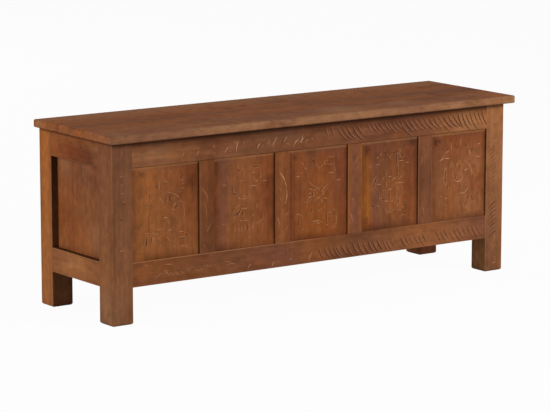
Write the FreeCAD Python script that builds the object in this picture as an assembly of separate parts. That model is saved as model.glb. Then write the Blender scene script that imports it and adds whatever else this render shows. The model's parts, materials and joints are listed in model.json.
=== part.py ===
"""Joined coffer chest with a hinged plank lid.

Corner posts that run down as legs, grooved rails and muntins round floating panels,
a boarded floor on bearers, and a lid of glued boards that turns on two butt hinges.
Lengths are millimetres. X runs along the chest, Y from front to back, Z up from the floor.
The origin is on the floor, halfway along the lid and halfway from its front edge to the hinge barrels.
"""
import FreeCAD
import Part
import math
import os

Vector = FreeCAD.Vector

# Overall size
lid_length = 1200.0
lid_depth = 350.0
total_height = 450.0
side_overhang = 15.0
front_overhang = 26.0

# Posts
post_width = 56.0
post_depth = 56.0
post_arris = 2.5
foot_chamfer = 3.5

# Rails and their joints
leg_clearance = 87.0
bottom_rail_height = 59.0
top_rail_height = 63.0
frame_thickness = 30.0
frame_arris = 1.2
tenon_thickness = 10.0
tenon_shoulder = 8.0
mortise_web = 6.0
joint_clearance = 0.1

# Muntins, grooves and panels
muntin_width = 43.0
front_muntin_count = 4
rear_muntin_count = 2
first_bay_width = 187.0
groove_width = 7.0
groove_depth = 10.0
front_panel_setback = 4.0
plain_panel_lip = 6.0
panel_clearance = 0.2
panel_gap = 1.5
field_margin = 3.0
field_bevel = 14.0
field_rise = 2.0

# Floor
floor_thickness = 12.0
floor_board_count = 6
floor_board_gap = 0.8
floor_clearance = 0.8
bearer_height = 20.0
bearer_depth = 18.0
bearer_rise = 6.0
bearer_screw_count = 5
bearer_screw_inset = 60.0

# Lid
lid_thickness = 19.0
lid_board_count = 3
lid_arris = 2.5
lid_gap = 0.3
batten_count = 3
batten_end_inset = 185.0
batten_width = 45.0
batten_thickness = 18.0
batten_arris = 4.0
batten_inset = 14.0
batten_screw_count = 3
batten_screw_inset = 16.0

# Hinges
hinge_end_inset = 195.0
leaf_length = 50.0
leaf_width = 22.0
leaf_thickness = 2.0
barrel_radius = 4.5
barrel_gap = 0.3
knuckle_count = 5
knuckle_gap = 0.3
pin_radius = 2.8
pin_clearance = 0.05
pin_head_radius = 4.0
pin_head_height = 2.0
hinge_screw_count = 3
hinge_screw_inset = 9.0
hinge_screw_stagger = 4.0

# Screws
hinge_screw_head_radius = 3.3
hinge_screw_shank_radius = 1.6
hinge_screw_bite = 12.0
wood_screw_head_radius = 4.0
wood_screw_shank_radius = 2.0
wood_screw_bite = 13.0
screw_clearance = 0.1
screw_side_count = 8
screw_point_share = 0.3
screw_tip_share = 0.2

# Cuts run past the faces that they open
overrun = 1.0

# Places that follow from the sizes
body_width = lid_length - 2 * side_overhang
body_depth = lid_depth - front_overhang
lid_underside = total_height - lid_thickness
carcass_height = lid_underside - lid_gap
rear_y = (lid_depth - barrel_gap - 2 * barrel_radius) / 2
lid_front_y = rear_y - lid_depth
front_y = rear_y - body_depth
middle_y = (front_y + rear_y) / 2
hinge_y = rear_y + barrel_gap + barrel_radius
hinge_z = carcass_height + lid_gap / 2
bottom_rail_top = leg_clearance + bottom_rail_height
top_rail_bottom = carcass_height - top_rail_height
inner_front_y = front_y + frame_thickness
inner_rear_y = rear_y - frame_thickness
tenon_front = (frame_thickness - tenon_thickness) / 2
tenon_back = tenon_front + tenon_thickness
floor_bottom = leg_clearance + bearer_rise + bearer_height
plain_panel_setback = frame_thickness - plain_panel_lip - groove_width
screw_turns = [2 * math.pi * (side + 0.5) / screw_side_count for side in range(screw_side_count)]
screw_ring = [(math.cos(turn), math.sin(turn)) for turn in screw_turns]


def block(low, high):
    """Rectangular solid between two opposite corners."""
    return Part.makeBox(high.x - low.x, high.y - low.y, high.z - low.z, low)


def eased_outline(corners, lift):
    """Closed face through corners (a, b, ease), each cut back by its ease; lift gives a point in space."""
    points = []
    for index, (a, b, ease) in enumerate(corners):
        corner = Vector(a, b, 0)
        if ease == 0:
            points.append(lift(a, b))
            continue
        for neighbour in (corners[index - 1], corners[(index + 1) % len(corners)]):
            way = (Vector(neighbour[0], neighbour[1], 0) - corner).normalize()
            eased = corner + way * ease
            points.append(lift(eased.x, eased.y))
    return Part.Face(Part.makePolygon(points + points[:1]))


def one_solid(shape):
    """The single solid that a run of cuts and joins should leave."""
    solids = shape.removeSplitter().Solids
    if len(solids) != 1:
        raise ValueError("expected one solid, found %d" % len(solids))
    return solids[0]


def placed(shape, placement):
    """A copy of the shape moved and turned by a placement."""
    moved = shape.copy()
    moved.Placement = placement.multiply(moved.Placement)
    return moved


def ring_solid(rings):
    """Solid with flat faces through a stack of rings, each a list of as many points."""
    faces = []
    for low, high in zip(rings, rings[1:]):
        for index in range(len(low)):
            quad = [low[index - 1], low[index], high[index], high[index - 1]]
            faces.append(Part.Face(Part.makePolygon(quad + quad[:1])))
    for ring in (rings[0], rings[-1]):
        faces.append(Part.Face(Part.makePolygon(ring + ring[:1])))
    return Part.makeSolid(Part.makeShell(faces))


def spread(count, width):
    """Evenly spaced places across a width, centred on zero, with one at each end."""
    if count == 1:
        return [0.0]
    return [width * (index / (count - 1) - 0.5) for index in range(count)]


def screw(head_radius, shank_radius, length, clearance=0.0):
    """Countersunk wood screw with its head at the origin and its point down; clearance makes its hole."""
    head = head_radius + clearance
    shank = shank_radius + clearance
    shoulder = shank - head
    point = -length * (1 - screw_point_share)
    tip = shank * screw_tip_share
    stations = [(head, 0), (shank, shoulder), (shank, point), (tip, -length - clearance)]
    rings = [[Vector(radius * x, radius * y, z) for x, y in screw_ring] for radius, z in stations]
    return ring_solid(rings)


def hinge_screw(clearance=0.0):
    """Screw through a hinge leaf, or its hole."""
    length = leaf_thickness + hinge_screw_bite
    return screw(hinge_screw_head_radius, hinge_screw_shank_radius, length, clearance)


def wood_screw(thickness, clearance=0.0):
    """Screw through a piece of the given thickness into the one behind it, or its hole."""
    length = thickness + wood_screw_bite
    return screw(wood_screw_head_radius, wood_screw_shank_radius, length, clearance)


def driven(shape, head, direction):
    """A screw, or its hole, driven from its head's place in a direction."""
    turn = FreeCAD.Rotation(Vector(0, 0, -1), direction)
    return placed(shape, FreeCAD.Placement(head, turn))


def rail(span, height, setback, tenon_length, groove_on_top):
    """Rail along X between two posts, outer face at y 0, lower edge at z 0: one groove and two tenons."""
    groove_back = setback + groove_width
    profile = [
        (0, 0, frame_arris),
        (setback, 0, 0),
        (setback, groove_depth, 0),
        (groove_back, groove_depth, 0),
        (groove_back, 0, 0),
        (frame_thickness, 0, frame_arris),
        (frame_thickness, height, 0),
        (0, height, frame_arris if groove_on_top else 0),
    ]
    tenon_low = groove_depth + tenon_shoulder
    tenon_high = height - tenon_shoulder
    if groove_on_top:
        profile = [(y, height - z, ease) for y, z, ease in profile]
        tenon_low = tenon_shoulder
        tenon_high = height - groove_depth - tenon_shoulder
    face = eased_outline(profile, lambda y, z: Vector(-span / 2, y, z))
    body = face.extrude(Vector(span, 0, 0))
    reach = span / 2 + tenon_length
    tenons = block(Vector(-reach, tenon_front, tenon_low), Vector(reach, tenon_back, tenon_high))
    return one_solid(body.fuse(tenons))


def mortises(span, setback, tenon_length):
    """Solids cut from the two posts of one side: a mortise for each rail and a groove for the panel."""
    levels = [
        (leg_clearance + tenon_shoulder, bottom_rail_top - groove_depth - tenon_shoulder),
        (top_rail_bottom + groove_depth + tenon_shoulder, carcass_height - tenon_shoulder),
    ]
    deep = span / 2 + tenon_length + joint_clearance
    cutters = []
    for low, high in levels:
        corner = Vector(-deep, tenon_front - joint_clearance, low - joint_clearance)
        opposite = Vector(deep, tenon_back + joint_clearance, high + joint_clearance)
        cutters.append(block(corner, opposite))
    groove_end = span / 2 + groove_depth
    corner = Vector(-groove_end, setback, bottom_rail_top - groove_depth)
    opposite = Vector(groove_end, setback + groove_width, top_rail_bottom + groove_depth)
    cutters.append(block(corner, opposite))
    return cutters


def muntin(setback):
    """Upright between two panels, centred on x 0, with two grooves and a stub tenon in each rail."""
    half = muntin_width / 2
    web = half - groove_depth
    groove_back = setback + groove_width
    profile = [
        (-half, 0, frame_arris),
        (half, 0, frame_arris),
        (half, setback, 0),
        (web, setback, 0),
        (web, groove_back, 0),
        (half, groove_back, 0),
        (half, frame_thickness, frame_arris),
        (-half, frame_thickness, frame_arris),
        (-half, groove_back, 0),
        (-web, groove_back, 0),
        (-web, setback, 0),
        (-half, setback, 0),
    ]
    face = eased_outline(profile, lambda x, y: Vector(x, y, bottom_rail_top))
    body = face.extrude(Vector(0, 0, top_rail_bottom - bottom_rail_top))
    stub = groove_depth - joint_clearance
    corner = Vector(-web, setback + joint_clearance, bottom_rail_top - stub)
    opposite = Vector(web, groove_back - joint_clearance, top_rail_bottom + stub)
    return one_solid(body.fuse(block(corner, opposite)))


def panel(bay, setback, fielded):
    """Panel that floats in the grooves round one bay, centred on x 0; a fielded one has a raised middle."""
    tongue = groove_depth - panel_gap
    front = setback + panel_clearance
    corner = Vector(-bay / 2 - tongue, front, bottom_rail_top - tongue)
    opposite = Vector(bay / 2 + tongue, setback + groove_width - panel_clearance, top_rail_bottom + tongue)
    board = block(corner, opposite)
    if not fielded:
        return board
    rings = []
    for inset, y in ((field_margin, front), (field_margin + field_bevel, front - field_rise)):
        half = bay / 2 - inset
        low = bottom_rail_top + inset
        high = top_rail_bottom - inset
        corners = [(-half, low), (half, low), (half, high), (-half, high)]
        rings.append([Vector(x, y, z) for x, z in corners])
    return one_solid(board.fuse(ring_solid(rings)))


def post(x, y, eases):
    """Corner post with a chamfered foot, with its least x and y and the eases of its two diagonals as given."""
    profile = [
        (x, y, eases[0]),
        (x + post_width, y, eases[1]),
        (x + post_width, y + post_depth, eases[0]),
        (x, y + post_depth, eases[1]),
    ]
    solid = eased_outline(profile, lambda a, b: Vector(a, b, 0)).extrude(Vector(0, 0, carcass_height))
    foot = [edge for edge in solid.Edges if edge.BoundBox.ZMax < foot_chamfer]
    return solid.makeChamfer(foot_chamfer, foot)


def even_bays(span, count):
    """Widths of equal bays between the muntins of one side."""
    return [(span - count * muntin_width) / (count + 1)] * (count + 1)


# The front is divided by hand: its first bay is wider than the others, which are equal
front_span = body_width - 2 * post_width
end_span = body_depth - 2 * post_depth
other_span = front_span - first_bay_width - muntin_width
front_bays = [first_bay_width] + even_bays(other_span, front_muntin_count - 1)

# Each side is laid out facing the front, then turned and moved to its place
end_x = body_width / 2
sides = {
    "front": (front_span, post_width, front_panel_setback, front_bays, 0, Vector(0, front_y, 0)),
    "right": (end_span, post_depth, plain_panel_setback, [end_span], 90, Vector(end_x, middle_y, 0)),
    "rear": (front_span, post_width, plain_panel_setback, even_bays(front_span, rear_muntin_count), 180,
             Vector(0, rear_y, 0)),
    "left": (end_span, post_depth, plain_panel_setback, [end_span], 270, Vector(-end_x, middle_y, 0)),
}

nodes = {}
post_cutters = []


def add_side(side):
    """Rails, muntins and panels of one side, and the cuts that it needs in its posts."""
    span, post_size, setback, bays, turn, place = sides[side]
    placement = FreeCAD.Placement(place, FreeCAD.Rotation(Vector(0, 0, 1), turn))
    tenon_length = post_size - tenon_back - mortise_web
    rails = [
        ("top_rail", top_rail_height, top_rail_bottom, False),
        ("bottom_rail", bottom_rail_height, leg_clearance, True),
    ]
    for name, height, level, groove_on_top in rails:
        solid = rail(span, height, setback, tenon_length, groove_on_top)
        solid.translate(Vector(0, 0, level))
        nodes[side + "_" + name] = placed(solid, placement)
    left = -span / 2
    for index, bay in enumerate(bays):
        suffix = "_%d" % (index + 1) if len(bays) > 1 else ""
        solid = panel(bay, setback, side == "front")
        solid.translate(Vector(left + bay / 2, 0, 0))
        nodes[side + "_panel" + suffix] = placed(solid, placement)
        left += bay
        if index + 1 < len(bays):
            solid = muntin(setback)
            solid.translate(Vector(left + muntin_width / 2, 0, 0))
            nodes[side + "_muntin" + suffix] = placed(solid, placement)
            left += muntin_width
    post_cutters.extend(placed(cutter, placement) for cutter in mortises(span, setback, tenon_length))


def add_posts():
    """Four corner posts with the mortises and grooves of the sides that they join.

    The outer and inner arrises are eased. The two that the rails meet stay sharp, so that the faces run through.
    """
    for side, x in (("left", -end_x), ("right", end_x - post_width)):
        for face, y in (("front", front_y), ("rear", rear_y - post_depth)):
            eases = [post_arris, 0]
            if (side == "left") != (face == "front"):
                eases.reverse()
            nodes[face + "_" + side + "_post"] = one_solid(post(x, y, eases).cut(post_cutters))


def add_floor():
    """Floor boards from front to back on two bearers, which are screwed to the long bottom rails."""
    half = end_x - frame_thickness - floor_clearance
    neck = end_x - post_width - floor_clearance
    front = inner_front_y + floor_clearance
    rear = inner_rear_y - floor_clearance
    step_front = front_y + post_depth + floor_clearance
    step_rear = rear_y - post_depth - floor_clearance
    outline = [
        (-neck, front), (neck, front), (neck, step_front), (half, step_front), (half, step_rear),
        (neck, step_rear), (neck, rear), (-neck, rear), (-neck, step_rear), (-half, step_rear),
        (-half, step_front), (-neck, step_front),
    ]
    face = eased_outline([(x, y, 0) for x, y in outline], lambda x, y: Vector(x, y, floor_bottom))
    whole = face.extrude(Vector(0, 0, floor_thickness))
    pitch = 2 * half / floor_board_count
    for index in range(floor_board_count):
        left = -half + index * pitch + floor_board_gap / 2
        right = left + pitch - floor_board_gap
        corner = Vector(left, front, floor_bottom)
        opposite = Vector(right, rear, floor_bottom + floor_thickness)
        nodes["floor_board_%d" % (index + 1)] = one_solid(whole.common(block(corner, opposite)))
    screws = []
    for side, face_y, into in (("front", inner_front_y, -1), ("rear", inner_rear_y, 1)):
        head_y = face_y - into * bearer_depth
        low = Vector(-neck, min(face_y, head_y), leg_clearance + bearer_rise)
        high = Vector(neck, max(face_y, head_y), floor_bottom)
        bearer = block(low, high)
        rail_node = side + "_bottom_rail"
        holes = []
        for x in spread(bearer_screw_count, 2 * (neck - bearer_screw_inset)):
            head = Vector(x, head_y, floor_bottom - bearer_height / 2)
            direction = Vector(0, into, 0)
            screws.append(driven(wood_screw(bearer_depth), head, direction))
            holes.append(driven(wood_screw(bearer_depth, screw_clearance), head, direction))
        nodes[side + "_floor_bearer"] = one_solid(bearer.cut(holes))
        nodes[rail_node] = one_solid(nodes[rail_node].cut(holes))
    nodes["bearer_screws"] = Part.makeCompound(screws)


def batten():
    """Batten across the underside of the lid, centred on x 0, with its lower arrises well eased."""
    low = lid_underside - batten_thickness
    half = batten_width / 2
    start = inner_front_y + batten_inset
    profile = [
        (-half, low, batten_arris),
        (half, low, batten_arris),
        (half, lid_underside, 0),
        (-half, lid_underside, 0),
    ]
    face = eased_outline(profile, lambda x, z: Vector(x, start, z))
    return face.extrude(Vector(0, inner_rear_y - batten_inset - start, 0))


def add_lid():
    """Lid boards cut from one slab with eased edges, held flat by screwed battens."""
    half = lid_length / 2
    slab = block(Vector(-half, lid_front_y, lid_underside), Vector(half, rear_y, total_height))
    slab = slab.makeChamfer(lid_arris, slab.Edges)
    screws = []
    holes = []
    reach = inner_rear_y - inner_front_y - 2 * (batten_inset + batten_screw_inset)
    up = Vector(0, 0, 1)
    for index, x in enumerate(spread(batten_count, 2 * (end_x - batten_end_inset))):
        solid = batten()
        solid.translate(Vector(x, 0, 0))
        for y in spread(batten_screw_count, reach):
            head = Vector(x, middle_y + y, lid_underside - batten_thickness)
            screws.append(driven(wood_screw(batten_thickness), head, up))
            holes.append(driven(wood_screw(batten_thickness, screw_clearance), head, up))
        nodes["lid_batten_%d" % (index + 1)] = one_solid(solid.cut(holes))
    nodes["batten_screws"] = Part.makeCompound(screws)
    slab = slab.cut(holes)
    width = lid_depth / lid_board_count
    for index in range(lid_board_count):
        front = lid_front_y + index * width
        corner = Vector(-half, front, lid_underside)
        opposite = Vector(half, front + width, total_height)
        nodes["lid_board_%d" % (index + 1)] = one_solid(slab.common(block(corner, opposite)))


def hinge_leaf(first_knuckle):
    """Leaf below the hinge axis, which runs along X through the origin; every second knuckle is its own."""
    half = leaf_length / 2
    edge = barrel_radius + barrel_gap
    low = -lid_gap / 2 - leaf_thickness
    leaf = block(Vector(-half, -edge - leaf_width, low), Vector(half, 0, -lid_gap / 2))
    pitch = leaf_length / knuckle_count
    for index in range(knuckle_count):
        start = -half + index * pitch
        own = index % 2 == first_knuckle
        margin = knuckle_gap / 2 if own else -knuckle_gap / 2
        seat = Vector(start + margin, 0, 0)
        width = pitch - 2 * margin
        if own:
            leaf = leaf.fuse(Part.makeCylinder(barrel_radius, width, seat, Vector(1, 0, 0)))
        else:
            corner = Vector(seat.x, -edge, low)
            opposite = Vector(seat.x + width, barrel_radius, barrel_radius)
            leaf = leaf.cut(block(corner, opposite))
    bore = Part.makeCylinder(pin_radius + pin_clearance, leaf_length, Vector(-half, 0, 0), Vector(1, 0, 0))
    return one_solid(leaf.cut(bore))


def hinge_pin():
    """Pin along X with a domed button head at each end, turned as one outline."""
    neck = leaf_length / 2 + knuckle_gap
    crown = neck + pin_head_height
    cap_radius = (pin_head_height ** 2 + pin_head_radius ** 2) / (2 * pin_head_height)
    half_sweep = math.asin(pin_head_radius / cap_radius) / 2
    dome_x = crown - cap_radius + cap_radius * math.cos(half_sweep)
    dome_z = cap_radius * math.sin(half_sweep)
    edges = []
    for end in (-1, 1):
        tip = Vector(end * crown, 0, 0)
        rim = Vector(end * neck, 0, pin_head_radius)
        edges.append(Part.Arc(tip, Vector(end * dome_x, 0, dome_z), rim).toShape())
        edges.append(Part.makeLine(rim, Vector(end * neck, 0, pin_radius)))
    edges.append(Part.makeLine(Vector(-neck, 0, pin_radius), Vector(neck, 0, pin_radius)))
    edges.append(Part.makeLine(Vector(-crown, 0, 0), Vector(crown, 0, 0)))
    section = Part.Face(Part.Wire(Part.sortEdges(edges)[0]))
    return section.revolve(Vector(0, 0, 0), Vector(1, 0, 0), 360).Solids[0]


def add_hinges():
    """Two butt hinges let in flush between the rear top rail and the lid, their barrels behind the back."""
    half = leaf_length / 2 + joint_clearance
    pocket_front = rear_y - leaf_width - joint_clearance
    lid_board = "lid_board_%d" % lid_board_count
    pieces = {"hinge_fixed_leaves": [], "hinge_lid_leaves": [], "hinge_pins": []}
    screws = {"hinge_fixed_screws": [], "hinge_lid_screws": []}
    for x in spread(2, 2 * (end_x - hinge_end_inset)):
        move = FreeCAD.Placement(Vector(x, hinge_y, hinge_z), FreeCAD.Rotation())
        rail_pocket = block(
            Vector(x - half, pocket_front, carcass_height - leaf_thickness),
            Vector(x + half, rear_y + overrun, carcass_height + overrun),
        )
        lid_pocket = block(
            Vector(x - half, pocket_front, lid_underside - overrun),
            Vector(x + half, rear_y + overrun, lid_underside + leaf_thickness),
        )
        rail_holes = []
        lid_holes = []
        for index, offset in enumerate(spread(hinge_screw_count, leaf_length - 2 * hinge_screw_inset)):
            stagger = hinge_screw_stagger * (1 if index % 2 else -1)
            y = rear_y - leaf_width / 2 - stagger
            down = (Vector(x + offset, y, carcass_height), Vector(0, 0, -1))
            up = (Vector(x + offset, y, lid_underside), Vector(0, 0, 1))
            screws["hinge_fixed_screws"].append(driven(hinge_screw(), *down))
            screws["hinge_lid_screws"].append(driven(hinge_screw(), *up))
            rail_holes.append(driven(hinge_screw(screw_clearance), *down))
            lid_holes.append(driven(hinge_screw(screw_clearance), *up))
        fixed_leaf = placed(hinge_leaf(0), move).cut(rail_holes)
        lid_leaf = placed(hinge_leaf(1).mirror(Vector(0, 0, 0), Vector(0, 0, 1)), move).cut(lid_holes)
        pieces["hinge_fixed_leaves"].append(one_solid(fixed_leaf))
        pieces["hinge_lid_leaves"].append(one_solid(lid_leaf))
        pieces["hinge_pins"].append(placed(hinge_pin(), move))
        nodes["rear_top_rail"] = one_solid(nodes["rear_top_rail"].cut(rail_holes + [rail_pocket]))
        nodes[lid_board] = one_solid(nodes[lid_board].cut(lid_holes + [lid_pocket]))
    for name, solids in (pieces | screws).items():
        nodes[name] = Part.makeCompound(solids)


for name in sides:
    add_side(name)
add_posts()
add_floor()
add_lid()
add_hinges()

os.makedirs("parts", exist_ok=True)
for name, shape in nodes.items():
    shape.exportStep("parts/" + name + ".step")
print(len(nodes), "nodes")
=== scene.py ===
# %% [markdown]
# # A carved coffer chest
# The chest is a joined frame of posts, rails and muntins with thin panels in grooves and a plank lid on two
# hinges. Its sizes and joints are fixed already, so this lesson only gives each piece its looks: softened
# arrises, gouge-cut ornament, wood that differs from board to board, and brass and steel at the hinges.

# %% Load the frame
import itertools
import json
import math
import random
from types import SimpleNamespace

import bmesh
import bpy
from mathutils import Matrix, Vector


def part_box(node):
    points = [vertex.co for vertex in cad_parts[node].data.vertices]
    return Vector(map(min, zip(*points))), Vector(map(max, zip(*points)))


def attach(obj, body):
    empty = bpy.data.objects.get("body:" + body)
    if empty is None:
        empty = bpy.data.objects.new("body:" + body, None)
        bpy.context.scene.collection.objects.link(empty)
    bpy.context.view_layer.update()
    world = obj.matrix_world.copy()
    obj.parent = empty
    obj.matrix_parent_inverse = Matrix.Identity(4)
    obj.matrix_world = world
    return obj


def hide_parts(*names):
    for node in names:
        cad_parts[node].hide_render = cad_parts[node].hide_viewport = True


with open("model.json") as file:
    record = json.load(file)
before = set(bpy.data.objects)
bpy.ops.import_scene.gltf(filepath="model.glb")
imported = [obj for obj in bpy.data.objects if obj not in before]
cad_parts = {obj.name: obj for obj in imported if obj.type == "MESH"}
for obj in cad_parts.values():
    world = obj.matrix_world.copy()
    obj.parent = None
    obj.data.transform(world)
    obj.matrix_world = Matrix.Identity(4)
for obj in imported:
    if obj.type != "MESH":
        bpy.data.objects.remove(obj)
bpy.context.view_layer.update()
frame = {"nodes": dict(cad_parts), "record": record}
MM = 0.001

# %% [markdown]
# ## Camera
# A long lens from well away keeps the long edges of the chest almost parallel. A constraint could aim the
# camera at the chest. Here it is put at a place and turned by a pan and a tilt, as a photographer would set
# a tripod head, because then each number says one thing.

# %% Set the camera
picture_width_px = 550
focal_length_px = 2778.8
sensor_width = 36.0
camera_place = Vector((-3.9124, -5.4963, 1.4139))
camera_pan = math.radians(-35.334)
camera_tilt = math.radians(-10.178)

camera = bpy.data.objects.new("camera", bpy.data.cameras.new("camera"))
bpy.context.scene.collection.objects.link(camera)
camera.location = camera_place
camera.rotation_euler = (math.pi / 2 + camera_tilt, 0, camera_pan)
camera.data.sensor_width = sensor_width
camera.data.lens = focal_length_px / picture_width_px * sensor_width
bpy.context.scene.camera = camera
bpy.context.scene.view_settings.view_transform = "Standard"
print("lens", round(camera.data.lens, 1), "mm")

# %% [markdown]
# ## Nodes in a few words
# Every finish here is a tree of nodes. They could be added and linked one by one, but a finish would then
# take pages. One small helper adds a node, sets its options and fills or links its inputs, so that a finish
# reads as a list of what feeds what.


# %% Helpers that add nodes
def add(tree, kind, inputs=None, **options):
    """Adds a node to a tree, sets its options, and sets or links its inputs by name or number."""
    made = tree.nodes.new(kind)
    for name, value in options.items():
        setattr(made, name, value)
    for key, value in (inputs or {}).items():
        if isinstance(value, bpy.types.NodeSocket):
            tree.links.new(value, made.inputs[key])
        else:
            made.inputs[key].default_value = value
    return made


def math_node(tree, operation, first, second=0.0):
    """One sum of two numbers, as a socket."""
    return add(tree, "ShaderNodeMath", {0: first, 1: second}, operation=operation).outputs[0]


def vector_node(tree, operation, first, second):
    """One sum of two vectors, as the outputs of its node."""
    return add(tree, "ShaderNodeVectorMath", {0: first, 1: second}, operation=operation).outputs


def ranged(tree, value, low, high, to_low=0.0, to_high=1.0, kind="LINEAR"):
    """Value moved from the range low to high into another range, and held inside it."""
    inputs = {"Value": value, "From Min": low, "From Max": high, "To Min": to_low, "To Max": to_high}
    return add(tree, "ShaderNodeMapRange", inputs, interpolation_type=kind).outputs["Result"]


def eased(tree, value, low, high, to_low=0.0, to_high=1.0):
    """The same with soft ends."""
    return ranged(tree, value, low, high, to_low, to_high, "SMOOTHSTEP")


def blended(tree, factor, first, second, kind="MIX"):
    """Two colours blended by a factor, as a socket."""
    inputs = {0: factor, 6: first, 7: second}
    return add(tree, "ShaderNodeMix", inputs, data_type="RGBA", blend_type=kind).outputs[2]


def new_material(name):
    """An empty material and its node tree."""
    material = bpy.data.materials.new(name)
    material.use_nodes = True
    material.node_tree.nodes.clear()
    return material, material.node_tree


print("node helpers ready")

# %% [markdown]
# ## Floor and light
# The chest stands on a pale studio floor under soft light: a lamp in front on the right, one off to the
# left, a low one behind, and an even sky. More light would make the floor white too, but would also bleach
# the wood. So camera and mirror rays see the floor and the sky as white, and the floor keeps a little of its
# shading, so that the feet still cast a soft shadow.

# %% A soft sky that the camera sees as white
sky_strength = 0.3
white = (1.0, 1.0, 1.0, 1.0)


def seen_directly(tree):
    """One for rays from the camera, from mirrors and through glass, and nought for the rest."""
    path = add(tree, "ShaderNodeLightPath")
    first = math_node(tree, "MAXIMUM", path.outputs["Is Camera Ray"], path.outputs["Is Glossy Ray"])
    return math_node(tree, "MAXIMUM", first, path.outputs["Is Transmission Ray"])


world = bpy.data.worlds.new("studio")
bpy.context.scene.world = world
world.use_nodes = True
tree = world.node_tree
tree.nodes.clear()
soft_sky = add(tree, "ShaderNodeBackground", {"Color": white, "Strength": sky_strength})
white_sky = add(tree, "ShaderNodeBackground", {"Color": white, "Strength": 1.0})
direct = seen_directly(tree)
sky = add(tree, "ShaderNodeMixShader", {0: direct, 1: soft_sky.outputs[0], 2: white_sky.outputs[0]})
add(tree, "ShaderNodeOutputWorld", {"Surface": sky.outputs[0]})
print("sky strength", sky_strength)

# %% Lay the floor and hang the lamps
floor_reach = 40.0
floor_grey = 0.62
floor_white_share = 0.96
chest_middle = Vector((0, 0, 0.25))
lamps = {
    "front_right_lamp": {"place": (2.2, -3.2, 1.95), "size": 1.0, "power": 150},
    "left_lamp": {"place": (-3.4, 0.45, 1.3), "size": 1.2, "power": 66},
    "rear_lamp": {"place": (-0.5, 6.0, 0.9), "size": 1.5, "power": 180, "glints": False},
}


def hang_lamp(name, place, size, power, glints=True):
    """A square soft lamp that looks at the middle of the chest, with or without glints on the lacquer."""
    light = bpy.data.lights.new(name, "AREA")
    light.size = size
    light.energy = power
    holder = bpy.data.objects.new(name, light)
    bpy.context.scene.collection.objects.link(holder)
    holder.location = place
    holder.visible_camera = False
    holder.visible_glossy = glints
    holder.rotation_euler = (chest_middle - Vector(place)).to_track_quat("-Z", "Y").to_euler()


floor_paint, tree = new_material("studio_floor")
matt_floor = add(tree, "ShaderNodeBsdfDiffuse", {"Color": (floor_grey, floor_grey, floor_grey, 1)})
white_floor = add(tree, "ShaderNodeEmission", {"Color": white, "Strength": 1.0})
share = math_node(tree, "MULTIPLY", seen_directly(tree), floor_white_share)
mixed = add(tree, "ShaderNodeMixShader", {0: share, 1: matt_floor.outputs[0], 2: white_floor.outputs[0]})
add(tree, "ShaderNodeOutputMaterial", {"Surface": mixed.outputs[0]})

bpy.ops.object.select_all(action="DESELECT")
bpy.ops.mesh.primitive_plane_add(size=floor_reach, location=(0, 0, 0))
floor = bpy.context.object
floor.name = "studio_floor"
floor.data.materials.append(floor_paint)
for name, lamp in lamps.items():
    hang_lamp(name, **lamp)
print("lamps", sorted(lamps))

# %% [markdown]
# ## Wood, worked out once
# The wood is an old reddish hardwood under a satin lacquer. What makes it look like wood is its figure: long
# streaks, growth rings cut at a slant, short dark pores and cloudy patches of stain. A picture of wood would
# repeat from board to board. Here all boards share one node group that works the figure out, and each board
# feeds it its own place, so no two boards show the same pattern.


# %% Node groups and stretched noise
def new_group(name, inputs, outputs):
    """An empty node group, its input sockets inside and its output sockets inside."""
    tree = bpy.data.node_groups.new(name, "ShaderNodeTree")
    for label, kind in inputs:
        tree.interface.new_socket(label, in_out="INPUT", socket_type=kind)
    for label, kind in outputs:
        tree.interface.new_socket(label, in_out="OUTPUT", socket_type=kind)
    return tree, add(tree, "NodeGroupInput").outputs, add(tree, "NodeGroupOutput").inputs


def stretched_noise(tree, vector, stretch, detail):
    """Noise on coordinates that are stretched along the grain."""
    mapped = add(tree, "ShaderNodeMapping", {"Vector": vector, "Scale": stretch})
    inputs = {"Vector": mapped.outputs[0], "Scale": 1.0, "Detail": detail}
    return add(tree, "ShaderNodeTexNoise", inputs).outputs


print("group helpers ready")

# %% The figure of the wood
warp_reach = 0.018
ring_scale = 26.0
ring_distortion = 2.4
ring_detail = 3.0
ring_stretch = (0.22, 1.0, 1.0)
ring_kind = {"wave_type": "RINGS", "rings_direction": "X", "wave_profile": "SAW"}
pore_limits = (0.60, 0.70)
noise_middle = 0.5
noises = {
    "Wander": {"stretch": (1.2, 5.0, 5.0), "detail": 2.0},
    "Patches": {"stretch": (4.5, 9.0, 9.0), "detail": 3.0},
    "Clouds": {"stretch": (3.4, 12.0, 12.0), "detail": 2.0},
    "Mottle": {"stretch": (45.0, 70.0, 70.0), "detail": 4.0},
    "Streaks": {"stretch": (1.6, 42.0, 42.0), "detail": 5.0},
    "Fibres": {"stretch": (9.0, 260.0, 260.0), "detail": 3.0},
    "Pores": {"stretch": (34.0, 620.0, 620.0), "detail": 1.0},
}
straight_noises = ("Wander", "Patches", "Clouds", "Mottle")

tree, given, shown = new_group(
    "wood_figure",
    [("Board", "NodeSocketVector")],
    [(label, "NodeSocketFloat") for label in [*noises, "Rings"]],
)
wood_figure = tree
wander = stretched_noise(tree, given["Board"], **noises["Wander"])
centred = vector_node(tree, "SUBTRACT", wander["Color"], [noise_middle] * 3)[0]
pushed = vector_node(tree, "MULTIPLY", centred, [warp_reach] * 3)[0]
warped = vector_node(tree, "ADD", given["Board"], pushed)[0]
for label, noise in noises.items():
    vector = given["Board"] if label in straight_noises else warped
    value = stretched_noise(tree, vector, **noise)["Fac"]
    if label == "Pores":
        value = ranged(tree, value, *pore_limits)
    tree.links.new(value, shown[label])
ring_place = add(tree, "ShaderNodeMapping", {"Vector": warped, "Scale": ring_stretch})
ring_inputs = {
    "Vector": ring_place.outputs[0], "Scale": ring_scale,
    "Distortion": ring_distortion, "Detail": ring_detail,
}
rings = add(tree, "ShaderNodeTexWave", ring_inputs, **ring_kind)
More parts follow.
